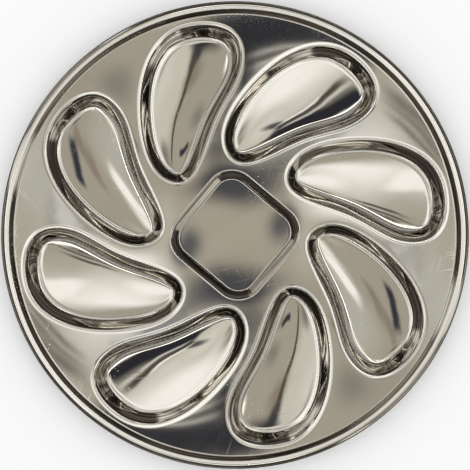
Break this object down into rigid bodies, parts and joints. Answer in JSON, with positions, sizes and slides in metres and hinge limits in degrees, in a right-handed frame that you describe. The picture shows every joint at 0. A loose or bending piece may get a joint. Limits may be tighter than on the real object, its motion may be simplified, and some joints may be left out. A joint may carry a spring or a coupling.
{
  "type": "oyster plate",
  "caption": "Round polished stainless steel serving plate with pear-shaped oyster wells in a pinwheel, a square sauce well in the middle and a rolled rim.",
  "frame": {"origin": "middle of the plate, on the table that it stands on", "axes": "+Z up out of the wells; +X right and +Y up in the picture, which looks straight down; the first oyster well lies 21.2 degrees from +X and the square well is turned 50 degrees"},
  "size_m": [0.3, 0.3, 0.0143],
  "materials": {
    "polished_stainless": "mirror-polished stainless sheet with faint handling marks"
  },
  "bodies": {
    "root": {"deck": "polished_stainless", "rolled_rim": "polished_stainless", "sauce_well": "polished_stainless", "oyster_well_1": "polished_stainless", "oyster_well_2": "polished_stainless", "oyster_well_3": "polished_stainless", "oyster_well_4": "polished_stainless", "oyster_well_5": "polished_stainless", "oyster_well_6": "polished_stainless", "oyster_well_7": "polished_stainless", "oyster_well_8": "polished_stainless"}
  },
  "joints": []
}
